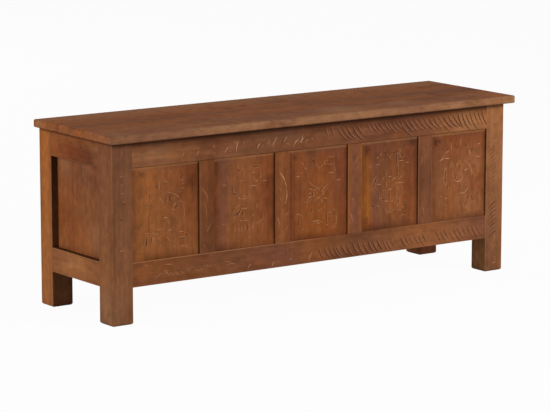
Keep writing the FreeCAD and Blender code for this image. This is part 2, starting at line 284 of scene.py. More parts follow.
tree.links.new(rings.outputs["Fac"], shown["Rings"])
print("wood figure", len(tree.nodes), "nodes")

# %% [markdown]
# ## Worn arrises, dark edges and painted light
# Hands and cloths polish an old chest along its arrises, and stain gathers in its corners. Part of this
# colour is
# painted light: pale arrises also stand for highlights where they catch the light, and dark edges and dark
# arrises also stand for shade. Blender can find edges by the sharpness of a mesh, but then every gouge cut
# would count as one. Here wear, stain and this painted light follow the distance to the nearest edge of a
# board. A board is a box, so that distance is the middle one of the three distances to its pairs of faces:
# the least is the face that we stand on.

# %% The distance to a board's nearest edge
tree, given, shown = new_group(
    "edge_distance",
    [("Place", "NodeSocketVector"), ("Centre", "NodeSocketVector"), ("Half", "NodeSocketVector")],
    [("Distance", "NodeSocketFloat")],
)
edge_distance = tree
from_centre = vector_node(tree, "SUBTRACT", given["Place"], given["Centre"])[0]
outward = add(tree, "ShaderNodeVectorMath", {0: from_centre}, operation="ABSOLUTE").outputs[0]
inward = vector_node(tree, "SUBTRACT", given["Half"], outward)[0]
parts = add(tree, "ShaderNodeSeparateXYZ", {0: inward}).outputs
lesser = math_node(tree, "MINIMUM", parts[0], parts[1])
greater = math_node(tree, "MAXIMUM", parts[0], parts[1])
middle = math_node(tree, "MAXIMUM", lesser, math_node(tree, "MINIMUM", greater, parts[2]))
tree.links.new(middle, shown["Distance"])
print("edge distance", len(tree.nodes), "nodes")

# %% [markdown]
# ## Tones
# A maker sorts boards by tone. One colour for each board would be simpler, but no old board is one colour.
# The tones here have names, and were changed from render to render until the boards came close to the real
# ones. Each board is a short list of tones along one of its directions, which the lacquer then ties together.


# %% Mix the tones
def srgb(red, green, blue):
    """A colour from everyday screen numbers, as the renderer's own light values."""
    channels = [c / 255 for c in (red, green, blue)]
    linear = [c / 12.92 if c <= 0.04045 else ((c + 0.055) / 1.055) ** 2.4 for c in channels]
    return (*linear, 1.0)


TONE = {
    "ochre": srgb(148, 86, 36),
    "orange": srgb(134, 75, 32),
    "amber": srgb(138, 83, 45),
    "honey": srgb(146, 95, 58),
    "fawn": srgb(137, 95, 65),
    "dun": srgb(134, 88, 58),
    "tan": srgb(131, 81, 49),
    "chestnut": srgb(127, 75, 42),
    "copper": srgb(126, 70, 35),
    "russet": srgb(120, 66, 36),
    "brick": srgb(108, 56, 29),
    "plum": srgb(112, 68, 48),
    "walnut": srgb(114, 70, 44),
    "smoke": srgb(114, 73, 49),
    "bark": srgb(102, 60, 36),
    "umber": srgb(92, 50, 29),
    "shade": srgb(58, 33, 23),
    # This dark tone serves both real stain in knots and grain, and painted shade at edges and under the lid.
    "stain": srgb(62, 33, 20),
    "raw": srgb(154, 107, 67),
    # This pale tone serves both wear on arrises, and a painted highlight on arrises and along the panel tops.
    "pale_wear_and_highlight": srgb(172, 120, 76),
}
plum_tint = srgb(104, 62, 48)
warm_tint = srgb(146, 80, 36)
print("tones", sorted(TONE))

# %% [markdown]
# ## The finish of one board
# A board's colour could be one long chain of nodes. It is easier to follow when it is built up in the order
# that the board's life gave it: its own tones, clouds of redder and plummier wood, patches and knots, the
# lines of its grain, stain with painted shade along its edges and painted light down from its top, and last
# its arrises, rubbed pale by hands and painted pale as highlights, or painted dark as shade. Satin lacquer
# goes over all of it. Each of these is one small function that takes the board's colour a step further.

# %% A board and its tones
grain_turn = {"X": (0, 0, 0), "Y": (0, 0, -math.pi / 2), "Z": (0, math.pi / 2, 0)}
board_shift = (2.37, 0.53, 0.71)


def new_board(node, grain, seed):
    """A material for one board, with the sockets that the steps of its finish share."""
    board = SimpleNamespace()
    board.material, tree = new_material(node + "_wood")
    board.tree = tree
    board.low, board.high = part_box(node)
    board.place = add(tree, "ShaderNodeTexCoord").outputs["Object"]
    shift = [seed * step for step in board_shift]
    turned = add(tree, "ShaderNodeMapping",
                 {"Vector": board.place, "Location": shift, "Rotation": grain_turn[grain]}).outputs[0]
    board.figure = add(tree, "ShaderNodeGroup", {"Board": turned}, node_tree=wood_figure).outputs
    box = {"Place": board.place, "Centre": (board.low + board.high) / 2, "Half": (board.high - board.low) / 2}
    board.distance = add(tree, "ShaderNodeGroup", box, node_tree=edge_distance).outputs["Distance"]
    return board


def position(board, axis):
    """Where a point of a board lies along an axis."""
    return add(board.tree, "ShaderNodeSeparateXYZ", {0: board.place}).outputs["XYZ".index(axis)]


def tone(board, axis, tones, stray):
    """Gives a board its tones along an axis, with edges that stray."""
    number = "XYZ".index(axis)
    share = ranged(board.tree, position(board, axis), board.low[number], board.high[number])
    wander = math_node(board.tree, "SUBTRACT", board.figure["Wander"], noise_middle)
    strayed = math_node(board.tree, "MULTIPLY", wander, stray)
    ramp = add(board.tree, "ShaderNodeValToRGB", {"Fac": math_node(board.tree, "ADD", share, strayed)})
    ramp.color_ramp.interpolation = "EASE"
    stops = ramp.color_ramp.elements
    while len(stops) < len(tones):
        stops.new(1.0)
    for stop, (place, name) in zip(stops, tones):
        stop.position = place
        stop.color = TONE[name]
    board.colour = ramp.outputs["Color"]


def fade(board, name, at_foot, at_top):
    """Blends a tone in by shares that change from the lower to the upper edge of a board."""
    share = ranged(board.tree, position(board, "Z"), board.low.z, board.high.z, at_foot, at_top)
    board.colour = blended(board.tree, share, board.colour, TONE[name])


print("grain may run along", sorted(grain_turn))

# %% Clouds, grain and patches
plum_cloud = (0.52, 0.74, 0.0, 0.5)
warm_cloud = (0.28, 0.48, 0.45, 0.0)
grain_depth = {
    "Streaks": (0.3, 0.7, 0.94, 1.06),
    "Fibres": (0.3, 0.7, 0.97, 1.04),
    "Mottle": (0.3, 0.7, 0.84, 1.16),
    "Rings": (0.0, 1.0, 1.05, 0.95),
    "Pores": (0.0, 1.0, 1.01, 0.80),
}
patch_depth = (0.58, 0.80, 0.0, 0.45)
patch_core = 0.6
patch_rim = 1.7


def cloud(board, strength):
    """Lays clouds of plummier and warmer wood over a board."""
    for limits, tint in ((plum_cloud, plum_tint), (warm_cloud, warm_tint)):
        share = eased(board.tree, board.figure["Clouds"], *limits)
        share = math_node(board.tree, "MULTIPLY", share, strength)
        board.colour = blended(board.tree, share, board.colour, tint)


def draw_grain(board):
    """Multiplies a board's colour by the lines of its grain."""
    for label, depth in grain_depth.items():
        line = ranged(board.tree, board.figure[label], *depth)
        board.colour = blended(board.tree, 1.0, board.colour, line, "MULTIPLY")
    cloudy = eased(board.tree, board.figure["Patches"], *patch_depth)
    board.colour = blended(board.tree, cloudy, board.colour, TONE["stain"])


def patch(board, middle, radius, share, name):
    """Blends a tone in round a place: a knot where it is small and dark, a cloud where it is large, and in
    some places painted shade.
    """
    away = vector_node(board.tree, "DISTANCE", board.place, middle)["Value"]
    ragged = math_node(board.tree, "MULTIPLY", board.figure["Mottle"], radius)
    edge = math_node(board.tree, "ADD", away, ragged)
    factor = eased(board.tree, edge, patch_core * radius, patch_rim * radius, share, 0.0)
    board.colour = blended(board.tree, factor, board.colour, TONE[name])


print("grain lines", sorted(grain_depth))

# %% Stain and painted light, arrises and lacquer
stain_and_shade_breaks = (0.30, 0.62)
wear_breaks = (0.38, 0.60)
wear_width = 3.0 * MM
grain_relief = 0.4 * MM
relief_strength = 0.3
gloss_span = (0.3, 0.7, -0.06, 0.10)
coat_share = 0.07
coat_roughness = 0.36


def stain(board, depth, reach, crown, crown_reach, crown_tone):
    """Darkens a board along its edges, partly stain and partly painted shade, and blends a tone in down from
    its top as painted light: shade under the lid and on ledges, a highlight on the panel tops.
    """
    broken = ranged(board.tree, board.figure["Patches"], *stain_and_shade_breaks)
    # Darker along the edges: stain at the joints, and painted shade in the recesses round the panels.
    edge_stain_and_shade_mask = eased(board.tree, board.distance, 0.0, reach, depth, 0.0)
    factor = math_node(board.tree, "MULTIPLY", edge_stain_and_shade_mask, broken)
    board.colour = blended(board.tree, factor, board.colour, TONE["stain"])
    # Painted light from the top down: painted shade under the lid and on ledges, painted highlight along the
    # panel tops.
    if crown:
        top = eased(board.tree, position(board, "Z"), board.high.z - crown_reach, board.high.z, 0.0, crown)
        board.colour = blended(board.tree, top, board.colour, TONE[crown_tone])


def rub_wear_and_edge_light(board, wear, name):
    """Blends a tone into a board's arrises in places: pale for wear and for painted highlight where they
    catch the light, dark as painted shade.
    """
    broken = ranged(board.tree, board.figure["Streaks"], *wear_breaks)
    edge = eased(board.tree, board.distance, 0.0, wear_width, wear, 0.0)
    factor = math_node(board.tree, "MULTIPLY", edge, broken)
    board.colour = blended(board.tree, factor, board.colour, TONE[name])


def lacquer(board, matt):
    """Puts satin lacquer over a board and ends its material."""
    pores = math_node(board.tree, "SUBTRACT", board.figure["Streaks"], board.figure["Pores"])
    bump = {"Strength": relief_strength, "Distance": grain_relief, "Height": pores}
    roughness = math_node(board.tree, "ADD", ranged(board.tree, board.figure["Streaks"], *gloss_span), matt)
    skin = add(board.tree, "ShaderNodeBsdfPrincipled", {
        "Base Color": board.colour, "Roughness": roughness, "Specular IOR Level": 0.0,
        "Normal": add(board.tree, "ShaderNodeBump", bump).outputs[0],
        "Coat Weight": coat_share, "Coat Roughness": coat_roughness})
    add(board.tree, "ShaderNodeOutputMaterial", {"Surface": skin.outputs[0]})


print("lacquer covers", coat_share)

# %% [markdown]
# One function takes a board through all the steps. What a board doesn't say about itself comes from a plain
# finish, so most boards only name their tones.

# %% A finished board
# Edge darkening is stain and painted shade, the blend down from the top is painted light, and pale arrises
# are wear and painted highlight.
plain_finish = {
    "stray": 0.2, "clouds": 0.8, "fade": None, "patches": (), "stain": 0.3, "stain_reach": 24 * MM,
    "crown": 0.0, "crown_reach": 11 * MM, "crown_tone": "stain", "wear": 0.5, "arris": "pale_wear_and_highlight", "matt": 0.5,
}


def finished_wood(node, grain, axis, tones, seed, **choices):
    """The material of one board, with its tones along an axis."""
    finish = {**plain_finish, **choices}
    board = new_board(node, grain, seed)
    tone(board, axis, tones, finish["stray"])
    if finish["fade"]:
        fade(board, *finish["fade"])
    cloud(board, finish["clouds"])
    for middle, radius, share, name in finish["patches"]:
        patch(board, middle, radius, share, name)
    draw_grain(board)
    crown = finish["crown"], finish["crown_reach"], finish["crown_tone"]
    stain(board, finish["stain"], finish["stain_reach"], *crown)
    rub_wear_and_edge_light(board, finish["wear"], finish["arris"])
    lacquer(board, finish["matt"])
    return board.material


print("plain finish", plain_finish)

# %% [markdown]
# ## Boards with softened arrises
# The frame gives each board with flat planed arrises. A board in use has rounder ones. A box of the same size
# with a bevel would lose the tenons, grooves and holes, so each board is copied instead: its loose triangles
# are welded and joined back into whole faces, and the two edges of each planed arris are bevelled. The copy
# then stands in for the frame's own board.

# %% Copy a board and soften it
weld_distance = 1e-6
flat_angle = math.radians(0.5)
arris_angles = (math.radians(35), math.radians(55))
least_arris = 20 * MM
arris_round = 0.5 * MM
arris_segments = 2


def select_only(piece):
    """Selects one object and makes it the active one."""
    bpy.ops.object.select_all(action="DESELECT")
    piece.select_set(True)
    bpy.context.view_layer.objects.active = piece


def is_arris(edge):
    """True for a long edge between a face and a planed arris."""
    if len(edge.link_faces) != 2 or edge.calc_length() < least_arris:
        return False
    return arris_angles[0] < edge.calc_face_angle(0) < arris_angles[1]


def welded_copy(node, name):
    """A copy of a frame node as a new object, with its triangles welded and flat faces joined."""
    piece = bpy.data.objects.new(name, frame["nodes"][node].data.copy())
    piece.data.materials.clear()
    bpy.context.scene.collection.objects.link(piece)
    select_only(piece)
    bpy.ops.mesh.customdata_custom_splitnormals_clear()
    bpy.ops.object.mode_set(mode="EDIT")
    bpy.ops.mesh.select_all(action="SELECT")
    bpy.ops.mesh.remove_doubles(threshold=weld_distance)
    bpy.ops.mesh.dissolve_limited(angle_limit=flat_angle)
    bpy.ops.mesh.select_all(action="DESELECT")
    bpy.ops.object.mode_set(mode="OBJECT")
    return piece


def soften_arrises(piece):
    """Bevels both edges of each planed arris, so that the arris turns round."""
    select_only(piece)
    bpy.ops.object.mode_set(mode="EDIT")
    bpy.ops.mesh.select_mode(type="EDGE")
    mesh = bmesh.from_edit_mesh(piece.data)
    for edge in mesh.edges:
        edge.select_set(is_arris(edge))
    bmesh.update_edit_mesh(piece.data)
    bpy.ops.mesh.bevel(offset=arris_round, segments=arris_segments, affect="EDGES", clamp_overlap=False)
    bpy.ops.object.mode_set(mode="OBJECT")


print("arris round", arris_round, "m")

# %% Let a piece stand in for the frame's own
smooth_angle = math.radians(40)


def body_of(node):
    """The body that a frame node belongs to."""
    bodies = frame["record"]["behaviour"]["bodies"]
    return next(body for body in bodies if node in bodies[body])


def stand_in(piece, node, material):
    """The piece takes a material, and stands in for a frame node on its body."""
    piece.data.materials.append(material)
    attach(piece, body_of(node))
    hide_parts(node)
    return piece


def shaped_board(node, suffix, material):
    """A softened copy of a board with its finish."""
    piece = welded_copy(node, node + suffix)
    soften_arrises(piece)
    return stand_in(piece, node, material)


def smooth(piece):
    """Smooth shading except across sharp edges."""
    select_only(piece)
    bpy.ops.object.shade_smooth_by_angle(angle=smooth_angle)


# %% [markdown]
# ## Posts, rails and muntins
# The frame of the chest is made of boards from several trees. One wood for all of them would look like
# plastic, so each board gets its own tones, read along the direction where they change most: across the width
# of an upright, and along the length of a rail. Tops that stand close under the lid are painted dark, as
# painted shade under the lid.

# %% The posts
seeds = itertools.count(1)
# Painted shade: the post tops under the lid are darkened from the top down, the rear posts' front faces under
# the chest take dark tones, and the rear right post is blended toward the shade tone.
posts = {
    "front_left_post": {
        "axis": "X", "stray": 0.0, "fade": ("honey", 0.5, 0.0), "clouds": 0.3, "crown": 1.0, "wear": 0.0,
        "tones": [(0.0, "walnut"), (0.012, "honey"), (0.035, "honey"), (0.06, "smoke"), (1.0, "smoke")],
        "patches": [((-0.603, -0.122, 0.020), 100 * MM, 0.9, "fawn"),
                    ((-0.545, -0.158, 0.020), 40 * MM, 0.3, "umber")]},
    "front_right_post": {
        "axis": "X", "stray": 0.0, "fade": ("honey", 0.1, 0.8), "clouds": 0.2, "crown": 0.6, "wear": 0.2,
        "tones": [(0.0, "raw"), (0.005, "raw"), (0.02, "smoke"), (0.5, "smoke"), (1.0, "tan")]},
    "rear_left_post": {
        "axis": "Y", "stray": 0.0, "fade": ("honey", 0.6, 0.0), "clouds": 0.3, "crown": 1.0,
        "tones": [(0.0, "shade"), (0.01, "shade"), (0.03, "amber"), (0.6, "ochre"), (1.0, "amber")]},
    "rear_right_post": {
        "axis": "Y", "stray": 0.0, "fade": ("shade", 0.25, 0.25),
        "tones": [(0.0, "umber"), (0.01, "umber"), (0.03, "chestnut"), (1.0, "tan")]},
}
frame_boards = {}
for node, board in posts.items():
    finish = finished_wood(node, "Z", seed=next(seeds), **board)
    frame_boards[node] = shaped_board(node, "_shaped", finish)
print("posts", len(posts))

# %% The tones of the muntins and the rails
muntins = {
    "front_muntin_1": [(0.0, "walnut"), (0.4, "bark"), (1.0, "bark")],
    "front_muntin_2": [(0.0, "chestnut"), (0.5, "chestnut"), (1.0, "russet")],
    "front_muntin_3": [(0.0, "chestnut"), (0.5, "plum"), (1.0, "chestnut")],
    "front_muntin_4": [(0.0, "plum"), (0.5, "walnut"), (1.0, "plum")],
    "rear_muntin_1": [(0.0, "chestnut"), (1.0, "walnut")],
    "rear_muntin_2": [(0.0, "walnut"), (1.0, "tan")],
}
long_rails = {
    "front_top_rail": [(0.0, "dun"), (0.08, "tan"), (0.25, "walnut"), (0.42, "smoke"), (0.52, "walnut"),
                       (0.75, "plum"), (0.88, "tan"), (1.0, "honey")],
    "front_bottom_rail": [(0.0, "chestnut"), (0.12, "chestnut"), (0.28, "walnut"), (0.4, "plum"),
                          (0.5, "chestnut"), (0.6, "walnut"), (0.8, "tan"), (1.0, "plum")],
    "rear_top_rail": [(0.0, "chestnut"), (0.5, "walnut"), (1.0, "tan")],
    "rear_bottom_rail": [(0.0, "tan"), (0.5, "plum"), (1.0, "chestnut")],
}
end_rails = {
    "left_top_rail": [(0.12, "walnut"), (0.3, "umber"), (0.55, "brick"), (0.75, "russet"), (0.95, "orange")],
    "left_bottom_rail": [(0.1, "tan"), (0.5, "honey"), (0.9, "tan")],
    "right_top_rail": [(0.1, "tan"), (0.9, "walnut")],
    "right_bottom_rail": [(0.1, "chestnut"), (0.9, "tan")],
}
print("muntins", len(muntins), "rails", len(long_rails) + len(end_rails))


# %% The muntins and the rails
def patches_on(axis, level, rows):
    """Patches on a flat face across an axis, from rows of a place and a radius in millimetres."""
    patches = []
    for first, second, radius, share, name in rows:
        middle = [first * MM, second * MM]
        middle.insert("XYZ".index(axis), level)
        patches.append((middle, radius * MM, share, name))
    return patches


rail_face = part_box("front_top_rail")[0].y
# The dark bark patches along the top of the front top rail are painted shade under the lid; the other patches
# are the wood's own tone.
rail_tone_and_shade_patches = patches_on("Y", rail_face, [
    (-300, 422, 52, 0.6, "bark"), (-215, 422, 46, 0.5, "bark"), (0, 420, 52, 0.6, "bark"),
    (105, 420, 56, 0.6, "bark"), (210, 420, 56, 0.6, "bark"), (-460, 408, 60, 0.6, "fawn"),
    (460, 405, 60, 0.5, "raw"), (245, 366, 42, 0.8, "chestnut"), (-250, 372, 45, 0.4, "dun")])
# Muntins and rails get paler arrises: partly wear, partly painted highlight where the arrises catch the
# light.
rail_finish = {"wear": 0.7, "clouds": 0.6}
# The ledges on top of the end bottom rails are painted dark, as painted shade.
painted_ledge_shade = {"crown": 0.85, "crown_reach": 4 * MM}
# The top rails are darkened from the top down as painted shade under the lid, and the front top rail's
# arrises are painted dark as shade.
own_finish = {
    "front_top_rail": {"crown": 0.72, "crown_reach": 40 * MM, "arris": "bark", "patches": rail_tone_and_shade_patches},
    "left_top_rail": {"crown": 1.0, "fade": ("amber", -0.6, 0.7)},
    "right_top_rail": {"crown": 1.0},
    "left_bottom_rail": painted_ledge_shade,
    "right_bottom_rail": painted_ledge_shade,
}
for grain, axis, boards in (("Z", "X", muntins), ("X", "X", long_rails), ("Y", "Y", end_rails)):
    for node, tones in boards.items():
        choices = {**rail_finish, **own_finish.get(node, {})}
        finish = finished_wood(node, grain, axis, tones, next(seeds), **choices)
        frame_boards[node] = shaped_board(node, "_shaped", finish)
print("frame boards", len(frame_boards))

# %% [markdown]
# ## Panels
# The five front panels were sawn from different logs, so their bands of tone differ most of all. Their
# borders are darker, partly old stain and partly painted shade where the frame shades them, and their tops
# blend to a pale tone as a painted highlight. Some have a knot or a cloud, and dark spots in their top
# corners are partly stain and partly painted shade. Such spots could be painted in a picture, but then the
# picture has to be fitted to every face. A patch of tone about a point needs no fitting. Each panel also
# fades from foot to top, partly in its own tone and partly as painted light: a lighter foot and a darker top.
# The end and back panels are plain.

# %% The tones of the panels
panels = {
    "front_panel_1": ("X", [(0.05, "chestnut"), (0.2, "amber"), (0.6, "chestnut"), (0.76, "russet"),
                            (0.9, "brick"), (1.0, "umber")]),
    "front_panel_2": ("X", [(0.06, "russet"), (0.16, "plum"), (0.3, "chestnut"), (0.62, "chestnut"),
                            (0.78, "russet"), (0.94, "brick")]),
    "front_panel_3": ("X", [(0.04, "russet"), (0.17, "russet"), (0.3, "copper"), (0.66, "copper"),
                            (0.78, "russet"), (0.9, "brick"), (1.0, "umber")]),
    "front_panel_4": ("X", [(0.04, "ochre"), (0.13, "ochre"), (0.24, "plum"), (0.4, "walnut"),
                            (0.52, "chestnut"), (0.66, "chestnut"), (0.8, "russet"), (0.95, "russet")]),
    "front_panel_5": ("X", [(0.06, "chestnut"), (0.16, "walnut"), (0.4, "chestnut"), (0.68, "tan"),
                            (0.84, "tan"), (0.95, "chestnut")]),
    "left_panel": ("Y", [(0.08, "walnut"), (0.3, "chestnut"), (0.6, "russet"), (0.85, "chestnut"),
                         (0.95, "amber")]),
    "right_panel": ("Y", [(0.08, "chestnut"), (0.5, "tan"), (0.95, "russet")]),
    "rear_panel_1": ("X", [(0.05, "russet"), (0.4, "tan"), (0.95, "chestnut")]),
    "rear_panel_2": ("X", [(0.05, "chestnut"), (0.6, "honey"), (0.95, "russet")]),
    "rear_panel_3": ("X", [(0.05, "tan"), (0.5, "chestnut"), (0.95, "brick")]),
}
print("panels to finish", len(panels))

# %% The panels
front_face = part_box("front_panel_1")[0].y
left_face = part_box("left_panel")[0].x
# Small stain patches in the panels' top corners are partly stain and partly painted shade; the larger patches
# are the wood's own tone.
front_tone_and_corner_shade_patches = {
    "front_panel_1": [(-502, 352, 11, 0.6, "stain"), (-362, 320, 26, 0.35, "stain")],
    "front_panel_2": [(-140, 300, 24, 0.3, "stain")],
    "front_panel_3": [(-66, 350, 12, 0.6, "stain"), (55, 325, 46, 0.5, "brick"), (0, 170, 75, 0.6, "orange")],
    "front_panel_4": [(152, 348, 15, 0.6, "stain"), (295, 355, 14, 0.6, "stain"),
                      (155, 150, 45, 0.8, "brick"), (245, 145, 60, 0.8, "bark")],
    "front_panel_5": [(374, 350, 14, 0.6, "stain"), (486, 320, 10, 0.6, "stain"),
                      (498, 235, 45, 0.6, "brick")],
}
panel_patches = {node: patches_on("Y", front_face, rows) for node, rows in front_tone_and_corner_shade_patches.items()}
panel_patches["left_panel"] = patches_on("X", left_face, [
    (-10, 340, 40, 0.9, "smoke"), (18, 332, 38, 0.8, "bark"), (-50, 326, 38, 0.6, "bark"),
    (85, 356, 38, 0.8, "dun"), (0, 257, 75, 0.6, "walnut"), (-62, 190, 50, 0.9, "dun"),
    (95, 240, 44, 0.7, "brick"), (0, 160, 62, 0.5, "amber")])
# Blends from foot to top: partly the wood's own tone, partly painted light, with a lighter foot for light
# thrown up from the floor and a darker top for shade under the rail.
panel_tone_and_light_fades = {
    "front_panel_1": ("amber", 0.9, -0.2),
    "front_panel_2": ("amber", 0.3, -0.3),
    "front_panel_3": ("brick", -0.2, 0.3),
    "front_panel_4": ("umber", -0.3, 0.75),
    "front_panel_5": ("brick", -1.2, 0.9),
    "left_panel": ("plum", -0.8, 0.6),
}
# On the panels the darkening along the borders is partly stain and partly painted shade in the recess of the
# frame. The carved panels' tops blend to the pale tone as a painted highlight.
carved_finish = {"stain": 0.7, "crown": 1.0, "crown_reach": 18 * MM, "crown_tone": "pale_wear_and_highlight"}
even_finish = {"stain": 0.25}
border_stain_and_shade_reach = 32 * MM
panel_boards = {}
for node, (axis, tones) in panels.items():
    suffix, choices = ("_carved", carved_finish) if node.startswith("front") else ("_shaped", even_finish)
    finish = finished_wood(node, "Z", axis, tones, next(seeds), wear=0.0, stain_reach=border_stain_and_shade_reach, **choices,
                           patches=panel_patches.get(node, ()), fade=panel_tone_and_light_fades.get(node))
    panel_boards[node] = shaped_board(node, suffix, finish)
print("panels", len(panel_boards))

# %% [markdown]
# ## Gouge cuts
# The ornament is cut with a V gouge in single strokes that start and end in nothing. Bumps in the finish
# could hint at them, but only real cuts catch the light from every side. A stroke is drawn here as a line on
# the face of the wood, thick in the middle and thin at its ends. A curve with a diamond section follows the
# line, and taking that solid away from the board leaves the cut. Where wear keeps a cut clean its bare wood
# is pale. The dark cuts are partly polish in the groove and partly painted shade, and some pale cuts beside
# them are a painted highlight for the lit side of a groove.

# %% The finish inside a cut
cut_noise_scale = 90.0
cut_noise_limits = (0.35, 0.65)
cut_gloss = (0.3, 0.7, 0.55, 0.75)
cut_specular = 0.1


def gouged_wood(name, bright, dim):
    """The inside of a cut between two tones, with hardly any gloss: bare fibres in pale cuts, polish and
    painted shade in dark ones.
    """
    material, tree = new_material(name)
    place = add(tree, "ShaderNodeTexCoord").outputs["Object"]
    noise = add(tree, "ShaderNodeTexNoise", {"Vector": place, "Scale": cut_noise_scale}).outputs["Fac"]
    skin = add(tree, "ShaderNodeBsdfPrincipled", {
        "Base Color": blended(tree, ranged(tree, noise, *cut_noise_limits), dim, bright),
        "Roughness": ranged(tree, noise, *cut_gloss), "Specular IOR Level": cut_specular})
    add(tree, "ShaderNodeOutputMaterial", {"Surface": skin.outputs[0]})
    return material


# The dark and deep cuts are nearly black, partly polish in the groove and partly painted shade. The pale cuts
# beside the rail hooks are a painted highlight for their lit side.
cut_kinds = {
    "pale": {"bright": (202, 156, 118), "dim": (162, 115, 80), "width": 1.5, "depth": 0.5},
    "light": {"bright": (178, 128, 90), "dim": (148, 100, 64), "width": 1.5, "depth": 0.5},
    "soft": {"bright": (166, 115, 77), "dim": (140, 91, 58), "width": 1.5, "depth": 0.4},
    "dark": {"bright": (80, 46, 28), "dim": (54, 29, 18), "width": 2.2, "depth": 0.9},
    "deep": {"bright": (82, 46, 27), "dim": (58, 32, 19), "width": 3.4, "depth": 1.2},
    "lit_side_highlight": {"bright": (140, 93, 60), "dim": (122, 78, 50), "width": 1.8, "depth": 0.4},
    "faint": {"bright": (122, 78, 48), "dim": (98, 60, 36), "width": 2.0, "depth": 0.5},
}
cuts = {}
for kind, cut in cut_kinds.items():
    finish = gouged_wood(kind + "_gouge_cut", srgb(*cut["bright"]), srgb(*cut["dim"]))
    cuts[kind] = {"finish": finish, "width": cut["width"] * MM, "depth": cut["depth"] * MM}
print("cuts", sorted(cuts))

# %% Draw strokes
stroke_steps = 6
arc_step_degrees = 15


def sweep(start, end, bow=0.0):
    """Points of a stroke from start to end, which bows to its left by a share of its length."""
    run, rise = end[0] - start[0], end[1] - start[1]
    points = []
    for step in range(stroke_steps + 1):
        t = step / stroke_steps
        side = 4 * bow * t * (1 - t)
        points.append((start[0] + run * t - rise * side, start[1] + rise * t + run * side))
    return points


def polar(centre, radius, angle):
    """The point at a radius and an angle in degrees from a centre."""
    turn = math.radians(angle)
    return centre[0] + radius * math.cos(turn), centre[1] + radius * math.sin(turn)


def arc(centre, radius, start, end):
    """Points of a round stroke between two angles in degrees."""
    count = max(stroke_steps, int(abs(end - start) / arc_step_degrees))
    return [polar(centre, radius, start + (end - start) * step / count) for step in range(count + 1)]


print("points in a plain stroke", stroke_steps + 1)

# %% The shape of a gouge in its strokes
end_share = 0.12
swell = 0.7
width_spread = (0.75, 1.2)
hand_seed = 7
hand = random.Random(hand_seed)


def thickness(t):
    """How thick a stroke is at a share of its length."""
    return end_share + (1 - end_share) * math.sin(math.pi * t) ** swell


def gouge(strokes, face_y, finish, width, depth):
    """One solid with the shape of all the strokes on an upright face that looks to the front."""
    curve = bpy.data.curves.new("gouge", "CURVE")
    curve.dimensions = "3D"
    curve.twist_mode = "Z_UP"
    curve.bevel_depth = 1.0
    curve.bevel_resolution = 0
    curve.use_fill_caps = True
    for points in strokes:
        half = width / 2 * hand.uniform(*width_spread)
        line = curve.splines.new("POLY")
        line.points.add(len(points) - 1)
        for step, (x, z) in enumerate(points):
            line.points[step].co = (x, z, 0, 1)
            line.points[step].radius = half * thickness(step / (len(points) - 1))
    tool = bpy.data.objects.new("gouge", curve)
    bpy.context.scene.collection.objects.link(tool)
    select_only(tool)
    tool.location.y = face_y
    tool.rotation_euler.x = math.pi / 2
    tool.scale.z = 2 * depth / width
    bpy.ops.object.convert(target="MESH")
    bpy.ops.object.transform_apply(location=True, rotation=True, scale=True)
    tool.data.materials.clear()
    tool.data.materials.append(finish)
    return tool


print("a stroke swells from", round(thickness(0), 2), "to", round(thickness(1 / 2), 2))


# %% Cut a drawing into a board
def carve(piece, face_y, drawing):
    """Cuts a drawing, a list of strokes for each kind of cut, into a piece."""
    tools = [gouge(strokes, face_y, **cuts[kind]) for kind, strokes in drawing.items() if strokes]
    select_only(tools[0])
    for tool in tools:
        tool.select_set(True)
    bpy.ops.object.join()
    select_only(piece)
    cut = piece.modifiers.new("gouge", "BOOLEAN")
    cut.object = tools[0]
    cut.operation = "DIFFERENCE"
    cut.solver = "EXACT"
    cut.use_self = True
    cut.material_mode = "TRANSFER"
    bpy.ops.object.modifier_apply(modifier=cut.name)
    bpy.data.objects.remove(tools[0])
    print(piece.name, "strokes", sum(map(len, drawing.values())), "faces", len(piece.data.polygons))


print("kinds of cut", len(cuts))

# %% [markdown]
# ## Carved panels
# Each front panel carries one main flower with smaller marks in its corners. A repeated flower would look
# stamped, so every panel has its own drawing, in millimetres from the lower left corner of its opening:
# straight strokes from one point to another, and arcs about a centre.

# %% The first two panels: a daisy in a ring, and two flowers one over the other
panel_lines = {}
panel_arcs = {}
panel_lines[1] = {
    "light": [(46, 181, 47, 170), (45, 157, 57, 158), (90, 186, 101, 176), (138, 184, 142, 178),
              (134, 162, 146, 161), (136, 134, 112, 119), (112, 119, 114, 110), (89, 97, 100, 95),
              (67, 73, 84, 71), (97, 66, 111, 66), (129, 60, 144, 58)],
    "soft": [(72, 149, 92, 126), (100, 150, 98, 126), (117, 148, 117, 136), (136, 134, 141, 126),
             (114, 112, 121, 112), (103, 92, 104, 77), (46, 172, 45, 159), (79, 190, 79, 160),
             (135, 172, 146, 172), (157, 158, 161, 156), (52, 78, 64, 92), (34, 64, 58, 62),
             (58, 63, 76, 60), (43, 50, 42, 28), (58, 55, 64, 40), (73, 53, 77, 46), (78, 36, 80, 29),
             (95, 52, 110, 38), (115, 30, 120, 21), (132, 45, 146, 46), (134, 25, 146, 25),
             (147, 26, 154, 18)],
    "dark": [(92, 149, 93, 131), (107, 150, 108, 137), (122, 130, 128, 129), (120, 117, 127, 119),
             (82, 98, 92, 100), (95, 64, 102, 63), (66, 176, 72, 168), (138, 191, 139, 184),
             (39, 58, 38, 32), (55, 56, 54, 40), (132, 42, 150, 43), (148, 52, 154, 47)],
}
panel_arcs[1] = {
    "soft": [((93, 104), 53, 32, 96), ((93, 104), 53, -20, 25), ((93, 104), 53, 120, 165),
             ((93, 104), 53, 215, 250)],
}
